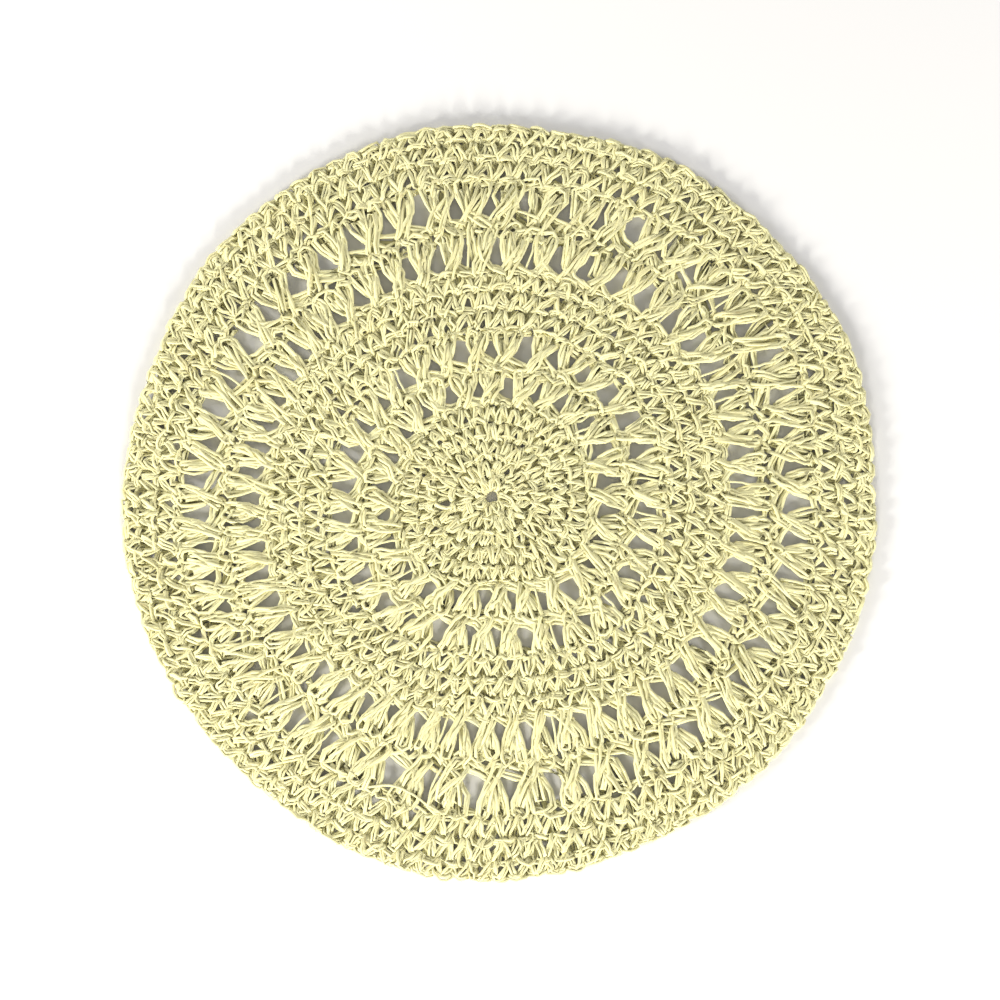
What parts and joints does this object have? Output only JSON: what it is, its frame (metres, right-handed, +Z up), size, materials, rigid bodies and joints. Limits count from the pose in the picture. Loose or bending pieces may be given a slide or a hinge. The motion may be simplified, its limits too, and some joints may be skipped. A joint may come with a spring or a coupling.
{
  "type": "round crocheted paper yarn placemat",
  "caption": "Round table mat crocheted in pale paper yarn: a tight middle, a tight band and a tight border, with open lace bands of crossed stitches between them.",
  "frame": {"origin": "on the underside, below the middle of the mat's bounding box", "axes": "+Z up through the mat's thickness, +X and +Y in the plane of the mat"},
  "size_m": [0.3774, 0.3792, 0.0036],
  "materials": {
    "paper_yarn": "pale cream-yellow twisted paper yarn, crocheted, with a faint sheen"
  },
  "bodies": {
    "root": {"mat": "paper_yarn"}
  },
  "joints": []
}
